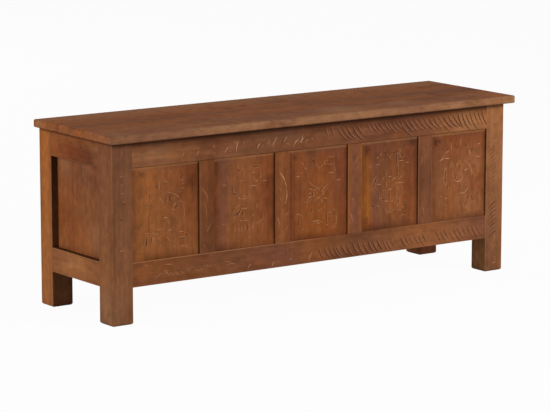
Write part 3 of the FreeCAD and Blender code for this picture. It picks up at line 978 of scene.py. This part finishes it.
panel_lines[2] = {
    "light": [(24, 158, 35, 157), (116, 158, 128, 158), (138, 157, 155, 155), (103, 147, 125, 146),
              (79, 124, 92, 124), (69, 123, 74, 118), (76, 98, 98, 96), (53, 76, 61, 75),
              (109, 75, 117, 79), (86, 66, 96, 65), (74, 67, 81, 66), (100, 25, 106, 24)],
    "soft": [(74, 163, 86, 162), (109, 179, 120, 179), (116, 172, 116, 160), (132, 192, 132, 162),
             (64, 106, 80, 105), (109, 60, 110, 37), (23, 63, 31, 62), (88, 56, 88, 40), (69, 52, 70, 38),
             (47, 110, 47, 84), (122, 106, 123, 88), (69, 204, 70, 194), (80, 204, 82, 184),
             (85, 175, 89, 174), (60, 56, 62, 40), (78, 54, 79, 38), (140, 56, 136, 34), (36, 180, 40, 164)],
    "dark": [(62, 128, 70, 122), (52, 134, 66, 129), (53, 94, 60, 96), (62, 78, 74, 90), (82, 88, 82, 78),
             (65, 190, 74, 184), (110, 194, 132, 193), (52, 150, 54, 136), (96, 56, 96, 40),
             (140, 80, 141, 64)],
}
panel_arcs[2] = {
    "light": [((122, 76), 20, 250, 340)],
    "soft": [((75, 82), 22, 183, 82), ((84, 140), 22, 200, 340)],
    "dark": [((56, 103), 22, 262, 363)],
}
print("strokes", [sum(map(len, panel_lines[number].values())) for number in (1, 2)])

# %% The third and fourth panels: a star, and a star beside a leaf
panel_lines[3] = {
    "light": [(21, 157, 32, 157), (44, 178, 52, 172), (116, 129, 97, 112), (57, 124, 70, 120),
              (57, 112, 67, 110), (57, 99, 66, 106), (49, 89, 60, 98), (102, 99, 116, 94),
              (78, 94, 96, 101), (97, 113, 103, 110), (83, 65, 96, 64), (116, 60, 129, 58),
              (21, 64, 33, 63), (70, 40, 78, 44), (83, 40, 90, 35)],
    "soft": [(58, 142, 75, 128), (75, 128, 96, 114), (103, 109, 95, 105), (97, 130, 97, 122),
             (31, 165, 41, 165), (86, 170, 109, 182), (80, 181, 86, 171), (116, 179, 134, 178),
             (116, 198, 134, 196), (96, 98, 97, 84), (106, 82, 107, 68), (130, 65, 140, 64),
             (140, 62, 141, 30), (109, 32, 116, 27), (130, 24, 142, 23), (82, 160, 84, 152),
             (33, 62, 42, 57), (38, 26, 45, 25), (141, 138, 154, 137), (117, 159, 138, 158),
             (36, 190, 44, 182)],
    "dark": [(58, 127, 78, 119), (70, 116, 70, 103), (52, 92, 66, 102), (72, 100, 76, 93),
             (104, 115, 116, 125), (101, 102, 107, 98), (88, 131, 88, 123), (47, 87, 50, 81),
             (66, 74, 67, 67), (82, 71, 96, 72), (27, 60, 27, 32), (112, 60, 112, 37), (68, 193, 80, 181),
             (126, 178, 138, 160), (72, 37, 80, 40), (118, 54, 128, 50), (130, 32, 140, 30),
             (57, 108, 66, 106)],
}
panel_arcs[3] = {"soft": [((110, 184), 5, 0, 350), ((84, 26), 17, 20, 160)]}
panel_lines[4] = {
    "light": [(45, 179, 53, 181), (57, 184, 60, 190), (85, 175, 93, 185), (108, 185, 122, 184),
              (111, 164, 131, 165), (132, 162, 149, 159), (82, 130, 93, 127), (95, 121, 107, 126),
              (100, 112, 131, 111), (45, 113, 60, 112), (81, 98, 95, 99), (70, 68, 83, 69),
              (87, 66, 99, 68), (21, 158, 32, 160)],
    "soft": [(115, 182, 127, 168), (44, 163, 57, 162), (67, 95, 73, 97), (54, 78, 64, 77),
             (122, 105, 128, 92), (108, 79, 113, 70), (44, 62, 56, 58), (98, 112, 99, 101),
             (115, 160, 114, 144), (85, 46, 90, 45), (61, 41, 64, 36), (108, 44, 124, 42),
             (100, 62, 105, 64), (112, 118, 124, 128), (110, 104, 118, 92), (114, 196, 122, 188),
             (122, 198, 114, 186), (109, 52, 116, 56)],
    "dark": [(70, 192, 80, 184), (108, 195, 109, 152), (97, 190, 104, 183), (126, 182, 128, 172),
             (43, 128, 42, 116), (74, 122, 74, 104), (53, 94, 53, 84), (87, 93, 88, 72), (58, 132, 66, 127),
             (70, 142, 76, 134), (110, 140, 112, 133), (30, 66, 42, 57), (64, 74, 71, 73),
             (115, 78, 116, 60), (121, 34, 135, 30), (127, 44, 131, 38), (124, 52, 131, 51)],
}
panel_arcs[4] = {"soft": [((58, 112), 16, 100, 250), ((58, 112), 24, 110, 240), ((88, 56), 16, 200, 340)]}
print("strokes", [sum(map(len, panel_lines[number].values())) for number in (3, 4)])

# %% The fifth panel: a tulip in an oval
panel_lines[5] = {
    "pale": [(22, 153, 41, 163), (43, 158, 59, 157), (43, 173, 55, 175), (86, 65, 108, 65),
             (108, 65, 118, 75), (44, 58, 52, 57), (144, 154, 155, 153), (147, 185, 157, 186),
             (105, 122, 114, 127)],
    "soft": [(88, 150, 84, 130), (64, 196, 63, 176), (93, 208, 93, 182), (121, 174, 124, 160),
             (42, 133, 50, 132), (43, 92, 51, 91), (100, 118, 101, 104), (73, 92, 74, 82), (27, 63, 35, 62),
             (45, 42, 52, 38), (46, 32, 53, 28), (112, 30, 118, 20), (146, 120, 152, 112),
             (148, 88, 156, 80), (64, 150, 62, 136)],
    "dark": [(70, 192, 86, 179), (106, 188, 115, 181), (116, 175, 117, 163), (126, 177, 131, 168),
             (48, 181, 55, 179), (52, 143, 54, 133), (46, 127, 45, 113), (46, 107, 46, 96),
             (52, 89, 54, 79), (75, 150, 80, 130), (91, 137, 92, 128), (74, 115, 80, 102), (91, 93, 92, 70),
             (110, 81, 113, 75), (118, 146, 126, 139), (133, 109, 134, 96), (95, 42, 105, 30),
             (105, 30, 118, 42), (116, 57, 116, 47), (128, 54, 134, 46), (144, 178, 145, 160)],
}
panel_arcs[5] = {
    "pale": [((86, 114), 18, 215, 340)],
    "soft": [((85, 108), 46, -17, 63), ((85, 108), 46, 140, 200), ((86, 114), 18, 150, 210)],
}
print("strokes", sum(map(len, panel_lines[5].values())))

# %% Cut the panels
stroke_bow = 0.1
lip_highlight_shift = (2.2 * MM, -1.4 * MM)
filler_area = (22, 18, 152, 204)
filler_pitch = 22
filler_wander = 6
filler_lengths = (8, 17)
filler_angles = (0, 40, 90, 140)
stops = ["front_left_post", *[f"front_muntin_{number}" for number in range(1, 5)], "front_right_post"]
opening_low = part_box("front_bottom_rail")[1].z


def fillers():
    """Short faint strokes all over a panel, which the carver put in to fill the ground."""
    strokes = []
    for x in range(filler_area[0], filler_area[2], filler_pitch):
        for z in range(filler_area[1], filler_area[3], filler_pitch):
            middle = (x + hand.uniform(0, filler_wander), z + hand.uniform(0, filler_wander))
            half = hand.uniform(*filler_lengths) / 2
            angle = hand.choice(filler_angles)
            strokes.append((*polar(middle, half, angle), *polar(middle, half, angle + 180)))
    return strokes


def beside(strokes, shift):
    """A stroke beside each one, a pale cut painted as the highlight on the side of its cut that catches the
    light.
    """
    return [[(x + shift[0], z + shift[1]) for x, z in points] for points in strokes]


def panel_drawing(number):
    """The strokes of one front panel in their place on the chest."""
    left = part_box(stops[number - 1])[1].x

    def at(x, z):
        return left + x * MM, opening_low + z * MM

    drawing = {kind: [] for kind in cuts}
    for kind, lines in {**panel_lines[number], "faint": fillers()}.items():
        for line in lines:
            bow = hand.uniform(-stroke_bow, stroke_bow)
            drawing[kind].append(sweep(at(*line[:2]), at(*line[2:]), bow))
    for kind, arcs in panel_arcs[number].items():
        drawing[kind] += [arc(at(*centre), radius * MM, start, end) for centre, radius, start, end in arcs]
    # Pale soft cuts beside the dark ones, as painted highlight on the lit side of each groove.
    drawing["soft"] += beside(drawing["dark"], lip_highlight_shift)
    return drawing


for number in panel_lines:
    carve(panel_boards[f"front_panel_{number}"], front_face, panel_drawing(number))

# %% [markdown]
# ## Carved rails
# The right half of each rail carries a row of long, dark hooks, partly polish and partly painted shade, each
# with a paler cut beside it as a painted highlight for its lit side. A copied hook would look printed, so
# every hook bends and steps on by its own amount. Rows of hooks are set out in millimetres from the middle of
# the
# chest. The left half is worn: some pale strokes are left, and low on the bottom rail a patch of fine
# hatching.
# Those strokes are drawn from the left end of the rail and down from its upper edge.

# %% What is cut into the rails
slanted_hook = {"radius": 72 * MM, "start": 202, "turn": 40}
steep_hook = {"radius": 74 * MM, "start": 188, "turn": 40}
low_hook = {"radius": 58 * MM, "start": 195, "turn": 36}
short_hook = {"radius": 44 * MM, "start": 185, "turn": 30}
middle_hook = {"radius": 50 * MM, "start": 202, "turn": 40}
rail_rows = {
    "front_top_rail": [("dark", 24, 48, 14, 18, short_hook), ("deep", 58, 135, 18, 16, slanted_hook),
                       ("dark", 150, 246, 18, 13, middle_hook), ("deep", 250, 430, 16, 15, slanted_hook),
                       ("deep", 434, 514, 13, 13, steep_hook)],
    "front_bottom_rail": [("dark", 4, 50, 25, 15, low_hook), ("deep", 56, 190, 23, 16, low_hook),
                          ("dark", 200, 236, 27, 14, low_hook), ("dark", 256, 336, 23, 14, low_hook),
                          ("dark", 368, 430, 22, 14, low_hook), ("dark", 436, 505, 20, 15, low_hook)],
}
rail_lines = {
    "front_top_rail": {
        "pale": [(260, 51, 271, 37), (293, 51, 300, 25), (353, 50, 362, 36), (398, 49, 412, 26),
                 (431, 42, 440, 28), (459, 53, 476, 35), (483, 48, 488, 26), (479, 46, 491, 34)],
        "soft": [(366, 50, 373, 40), (385, 44, 391, 29), (437, 44, 449, 50), (495, 51, 503, 38),
                 (513, 44, 517, 36), (138, 51, 148, 38), (180, 50, 188, 37), (180, 33, 188, 32),
                 (204, 49, 208, 45), (225, 30, 231, 36), (228, 53, 233, 46), (34, 51, 40, 42),
                 (286, 30, 296, 27), (312, 34, 318, 26)],
        "faint": [(126, 40, 134, 36), (160, 47, 172, 49), (238, 44, 240, 34), (336, 46, 340, 36),
                  (420, 40, 424, 30)]},
    "front_bottom_rail": {
        "pale": [(326, 51, 334, 41), (397, 53, 402, 43), (505, 53, 515, 34), (448, 46, 454, 40)],
        "soft": [(256, 28, 278, 31), (262, 36, 292, 37), (88, 15, 110, 18), (30, 10, 44, 12)],
        "faint": [(411, 14, 411, 34), (440, 12, 440, 34), (452, 16, 452, 34), (466, 18, 466, 36),
                  (478, 20, 480, 36), (490, 18, 491, 38), (100, 22, 116, 28), (248, 26, 262, 24)]},
}
print("rows of hooks", {node: len(rows) for node, rows in rail_rows.items()})

# %% Hooks and hatching
hook_spread = (0.85, 1.15)
hook_wobble = 2.0 * MM
hatch_span = (62, 220)
hatch_pitch = 7
hatch_depths = (26, 38)
hatch_reach = (5, 9)
hatch_leans = (1, 1, -1)


def hook(x, top, shape):
    """A stroke that starts almost upright and sweeps out to the right."""
    radius = shape["radius"] * hand.uniform(*hook_spread)
    end = shape["start"] + shape["turn"] * hand.uniform(*hook_spread)
    points = arc((0, 0), radius, shape["start"], end)
    first = points[0]
    return [(x + point[0] - first[0], top + point[1] - first[1]) for point in points]


def hook_row(first, last, top, pitch, shape):
    """A row of hooks from first to last."""
    strokes = []
    x = first
    while x < last:
        strokes.append(hook(x, top + hand.uniform(-hook_wobble, hook_wobble), shape))
        x += pitch * hand.uniform(*hook_spread)
    return strokes


def hatching():
    """Fine strokes that lean to both sides, for the worn patch of the bottom rail."""
    strokes = []
    for x in range(*hatch_span, hatch_pitch):
        depth = hand.uniform(*hatch_depths)
        reach = hand.uniform(*hatch_reach)
        lean = hand.choice(hatch_leans)
        strokes.append((x - lean * reach / 2, depth + reach, x + lean * reach / 2, depth))
    return strokes


rail_lines["front_bottom_rail"]["soft"] += hatching()
rail_lines["front_bottom_rail"]["faint"] += hatching()
print("hatching", len(rail_lines["front_bottom_rail"]["soft"]), "soft strokes in all")

# %% Cut the rails
lit_side_highlight_shift = (4.4 * MM, 0.8 * MM)


def swept(lines, left, level, up):
    """Strokes from lines in millimetres, to the right of a face's corner and up, or down where up is -1."""
    strokes = []
    for x0, z0, x1, z1 in lines:
        start = (left + x0 * MM, level + up * z0 * MM)
        end = (left + x1 * MM, level + up * z1 * MM)
        strokes.append(sweep(start, end, stroke_bow))
    return strokes


rail_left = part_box("front_left_post")[1].x
for node, rows in rail_rows.items():
    low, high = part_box(node)
    drawing = {kind: [] for kind in cuts}
    for kind, first, last, depth, pitch, shape in rows:
        row = hook_row(first * MM, last * MM, high.z - depth * MM, pitch * MM, shape)
        drawing[kind] += row
        # Pale cuts beside each hook, as painted highlight on its lit side.
        drawing["lit_side_highlight"] += beside(row, lit_side_highlight_shift)
    for kind, lines in rail_lines[node].items():
        drawing[kind] += swept(lines, rail_left, high.z, -1)
    carve(frame_boards[node], low.y, drawing)

# %% [markdown]
# ## Carved posts and muntins
# The right post has a column of slanting strokes, the left post a few small marks, and the muntins carry the
# stem and leaves of a tendril. They are cut as the panels are, so that all the ornament looks like one hand's
# work, and are drawn in millimetres from the lower left corner of each board's face.

# %% Cut the posts and the muntins
column_first = 84
column_middle = 172
column_last = 310
column_pitch = 11
column_rise = 19
upright_lines = {
    "front_left_post": {"soft": [(24, 408, 33, 401), (23, 349, 33, 352), (24, 330, 32, 332),
                                 (26, 312, 34, 310), (30, 291, 40, 293), (20, 176, 36, 177),
                                 (12, 120, 17, 98)],
                        "dark": [(30, 286, 38, 285), (22, 250, 30, 247)]},
    "front_right_post": {
        "dark": [(9, z, 35, z + column_rise) for z in range(column_first, column_middle, column_pitch)],
        "faint": [(8, z, 33, z + column_rise) for z in range(column_middle, column_last, column_pitch)],
        "soft": [(20, 380, 34, 384), (20, 334, 36, 337), (24, 60, 40, 66), (26, 40, 34, 24),
                 (22, 18, 38, 21)]},
    "front_muntin_1": {"soft": [(6, 155, 24, 128), (13, 122, 18, 84), (31, 71, 18, 51), (9, 22, 16, 13)]},
    "front_muntin_2": {"pale": [(13, 172, 33, 133), (33, 133, 28, 93)],
                       "soft": [(12, 135, 18, 126), (13, 111, 17, 102), (40, 75, 28, 66), (5, 66, 13, 33),
                                (39, 44, 30, 29), (10, 20, 15, 10)]},
    "front_muntin_3": {"soft": [(31, 190, 18, 173), (9, 88, 17, 80), (6, 53, 13, 27)]},
    "front_muntin_4": {"soft": [(11, 172, 6, 146), (13, 44, 17, 22)]},
}
for node, drawn in upright_lines.items():
    low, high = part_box(node)
    foot = opening_low if "muntin" in node else low.z
    drawing = {kind: swept(drawn.get(kind, ()), low.x, foot, 1) for kind in cuts}
    carve(frame_boards[node], low.y, drawing)

# %% [markdown]
# ## Lid
# Three planks are glued edge to edge, with battens screwed under them to keep them flat. One wide board would
# show no joints, so each plank is a piece with its own wood: the front one tan with a pale front edge and
# grey and pale clouds, the middle one darker, and the back one turning from chestnut to dun. The planks are
# dry, so their lacquer is duller.

# %% The planks and battens of the lid
lid_boards = {
    "lid_board_1": [(0.0, "fawn"), (0.02, "fawn"), (0.08, "tan"), (0.6, "tan"), (1.0, "chestnut")],
    "lid_board_2": [(0.0, "chestnut"), (0.3, "chestnut"), (0.55, "walnut"), (0.8, "chestnut"),
                    (1.0, "chestnut")],
    "lid_board_3": [(0.0, "chestnut"), (0.4, "tan"), (0.8, "dun"), (1.0, "tan")],
}
lid_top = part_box("lid_board_1")[1].z
lid_patches = {
    "lid_board_1": [
        (442, -65, 14, 0.5, "stain"), (90, -120, 75, 0.7, "fawn"), (290, -110, 60, 0.6, "fawn"),
        (-250, -105, 85, 0.6, "smoke"), (550, -150, 40, 0.3, "ochre"), (-560, -160, 45, 0.5, "fawn"),
        (-130, -155, 60, 0.8, "smoke"), (480, -150, 60, 0.7, "walnut")],
    "lid_board_2": [
        (-415, -21, 14, 0.5, "stain"), (-123, 52, 14, 0.5, "stain"), (442, -36, 16, 0.5, "stain"),
        (100, 0, 60, 0.4, "bark"), (-300, 30, 70, 0.4, "brick"), (555, -40, 55, 0.5, "bark")],
    "lid_board_3": [
        (-62, 62, 15, 0.5, "stain"), (330, 95, 40, 0.25, "stain"), (-575, 100, 50, 0.6, "orange"),
        (-140, 75, 40, 0.4, "bark")],
}
lid_finish = {"stray": 0.08, "wear": 0.0, "stain": 0.0, "clouds": 1.0, "matt": 0.55}
for node, tones in lid_boards.items():
    patches = patches_on("Z", lid_top, lid_patches[node])
    finish = finished_wood(node, "X", "Y", tones, next(seeds), **lid_finish, patches=patches)
    shaped_board(node, "_planed", finish)
batten_tones = [(0.0, "chestnut"), (1.0, "walnut")]
battens = [f"lid_batten_{number}" for number in range(1, 4)]
for node in battens:
    finish = finished_wood(node, "Y", "X", batten_tones, next(seeds))
    shaped_board(node, "_shaped", finish)
print("lid boards", len(lid_boards), "battens", len(battens))

# %% [markdown]
# ## Inside
# The floor boards and their bearers never got the stain of the outside. They are paler and drier, which the
# same finish gives with paler tones and less gloss.

# %% The floor of the chest
dry_matt = 0.65
floor_tones = [(0.0, "raw"), (0.5, "honey"), (1.0, "raw")]
bearer_tones = [(0.0, "honey"), (1.0, "raw")]
floor_boards = [f"floor_board_{number}" for number in range(1, 7)]
for node in floor_boards:
    finish = finished_wood(node, "Y", "X", floor_tones, next(seeds), matt=dry_matt)
    shaped_board(node, "_laid", finish)
for node in ("front_floor_bearer", "rear_floor_bearer"):
    finish = finished_wood(node, "X", "X", bearer_tones, next(seeds), matt=dry_matt)
    shaped_board(node, "_shaped", finish)
print("floor boards", len(floor_boards))

# %% [markdown]
# ## Hinges
# Two brass butt hinges carry the lid. Metal needs little more than its own colour, some tarnish and rough
# patches. The leaves and pins could be modelled anew, but the frame's own solids have the right knuckles and
# holes, so copies of them with smoothed facets stand in.

# %% Brass, steel and the hinges
metal_noise_scale = 160.0
tarnish_limits = (0.35, 0.70)
metal_relief = {"Strength": 0.15, "Distance": 0.2 * MM}
rough_patches = 0.25


def old_metal(name, bright, dull, roughness):
    """A worn metal between a bright and a dull tone."""
    material, tree = new_material(name)
    place = add(tree, "ShaderNodeTexCoord").outputs["Object"]
    noise = add(tree, "ShaderNodeTexNoise", {"Vector": place, "Scale": metal_noise_scale}).outputs["Fac"]
    tarnish = ranged(tree, noise, *tarnish_limits)
    skin = add(tree, "ShaderNodeBsdfPrincipled", {
        "Base Color": blended(tree, tarnish, bright, dull), "Metallic": 1.0,
        "Roughness": ranged(tree, tarnish, 0.0, 1.0, roughness, roughness + rough_patches),
        "Normal": add(tree, "ShaderNodeBump", {**metal_relief, "Height": noise}).outputs[0]})
    add(tree, "ShaderNodeOutputMaterial", {"Surface": skin.outputs[0]})
    return material


brass_look = {"bright": srgb(196, 158, 92), "dull": srgb(120, 88, 46), "roughness": 0.28}
steel_look = {"bright": srgb(168, 166, 160), "dull": srgb(96, 92, 86), "roughness": 0.32}
brass = old_metal("hinge_brass_worn", **brass_look)
steel = old_metal("screw_steel_worn", **steel_look)
for node in ("hinge_fixed_leaves", "hinge_lid_leaves", "hinge_pins"):
    smooth(stand_in(welded_copy(node, node + "_smoothed"), node, brass))
print("metals", brass.name, steel.name)

# %% [markdown]
# ## Screws
# The frame gives each screw as a plain faceted solid. A turned screw with a slot takes its place: a circle is
# drawn down to a cone, a shank and a point, and a bar is taken away across its head. The screws of one kind
# are alike, so one is made as a pattern and copied. The frame's screw tells where the head is, which way the
# screw points and how long it is, and each slot stops at its own angle.

# %% Turn one screw
screw_sides = 20
shank_share = 0.5
tip_share = 0.12
point_share = 0.3
slot_length_share = 3
slot_width_share = 0.3
slot_depth_share = 0.28


def turned_screw(head_radius, length):
    """A screw that points down, with the top of its head at the origin."""
    bpy.ops.object.select_all(action="DESELECT")
    bpy.ops.mesh.primitive_circle_add(vertices=screw_sides, radius=head_radius, fill_type="NGON")
    screw = bpy.context.object
    shank = shank_share * head_radius
    steps = [
        (head_radius - shank, shank_share),
        (length * (1 - point_share) - head_radius + shank, 1.0),
        (length * point_share, tip_share / shank_share),
    ]
    bpy.ops.object.mode_set(mode="EDIT")
    bpy.ops.mesh.select_all(action="SELECT")
    for drop, scale in steps:
        bpy.ops.mesh.extrude_region_move(TRANSFORM_OT_translate={"value": (0, 0, -drop)})
        bpy.ops.transform.resize(value=(scale, scale, 1))
    bpy.ops.mesh.select_all(action="SELECT")
    bpy.ops.mesh.normals_make_consistent(inside=False)
    bpy.ops.object.mode_set(mode="OBJECT")
    return screw


def cut_slot(screw, head_radius):
    """Takes the slot away from a screw's head."""
    bpy.ops.object.select_all(action="DESELECT")
    bpy.ops.mesh.primitive_cube_add(size=1.0)
    bar = bpy.context.object
    shares = Vector((slot_length_share, slot_width_share, 2 * slot_depth_share))
    bar.scale = shares * head_radius
    bpy.ops.object.transform_apply(location=True, rotation=True, scale=True)
    select_only(screw)
    cut = screw.modifiers.new("slot", "BOOLEAN")
    cut.object = bar
    cut.operation = "DIFFERENCE"
    cut.solver = "EXACT"
    bpy.ops.object.modifier_apply(modifier=cut.name)
    bpy.data.objects.remove(bar)


print("screw sides", screw_sides)


# %% Find the screws
def separate_solids(node):
    """The corner points of each separate solid in a frame node."""
    mesh = bmesh.new()
    mesh.from_mesh(frame["nodes"][node].data)
    bmesh.ops.remove_doubles(mesh, verts=mesh.verts, dist=weld_distance)
    seen = set()
    solids = []
    for first in mesh.verts:
        if first in seen:
            continue
        found = [first]
        seen.add(first)
        for vert in found:
            near = [edge.other_vert(vert) for edge in vert.link_edges]
            fresh = [other for other in near if other not in seen]
            seen.update(fresh)
            found.extend(fresh)
        solids.append([vert.co.copy() for vert in found])
    mesh.free()
    return solids


def screw_place(points):
    """Where a screw's head is, which way it points, and its head radius and length."""
    low = Vector([min(values) for values in zip(*points)])
    high = Vector([max(values) for values in zip(*points)])
    axis = max(range(3), key=lambda number: high[number] - low[number])
    ends = []
    for end in (low, high):
        ends.append([point for point in points if abs(point[axis] - end[axis]) < weld_distance])
    middles = [sum(end, Vector()) / len(end) for end in ends]
    radii = [max((point - middle).length for point in end) for end, middle in zip(ends, middles)]
    head = 0 if radii[0] > radii[1] else 1
    along = middles[1 - head] - middles[head]
    return middles[head], along.normalized(), radii[head], along.length


screw_nodes = ("bearer_screws", "batten_screws", "hinge_fixed_screws", "hinge_lid_screws")
screw_places = {}
for node in screw_nodes:
    screw_places[node] = [screw_place(points) for points in separate_solids(node)]
print("screws", {node: len(places) for node, places in screw_places.items()})


# %% Set the screws in their places
def copy_of(piece):
    """A copy of a piece with its own mesh."""
    select_only(piece)
    bpy.ops.object.duplicate()
    return bpy.context.object


for node, places in screw_places.items():
    head_radius, length = places[0][2:]
    pattern = turned_screw(head_radius, length)
    cut_slot(pattern, head_radius)
    copies = []
    for head, along, *_ in places:
        screw = copy_of(pattern)
        turn = along.to_track_quat("-Z", "Y").to_matrix().to_4x4()
        spin = Matrix.Rotation(hand.uniform(0, math.pi), 4, "Z")
        screw.matrix_world = Matrix.Translation(head) @ turn @ spin
        copies.append(screw)
    bpy.data.objects.remove(pattern)
    select_only(copies[0])
    for screw in copies:
        screw.select_set(True)
    bpy.ops.object.join()
    bpy.ops.object.transform_apply(location=True, rotation=True, scale=True)
    copies[0].name = node + "_slotted"
    smooth(stand_in(copies[0], node, steel))
    print(node, len(copies))
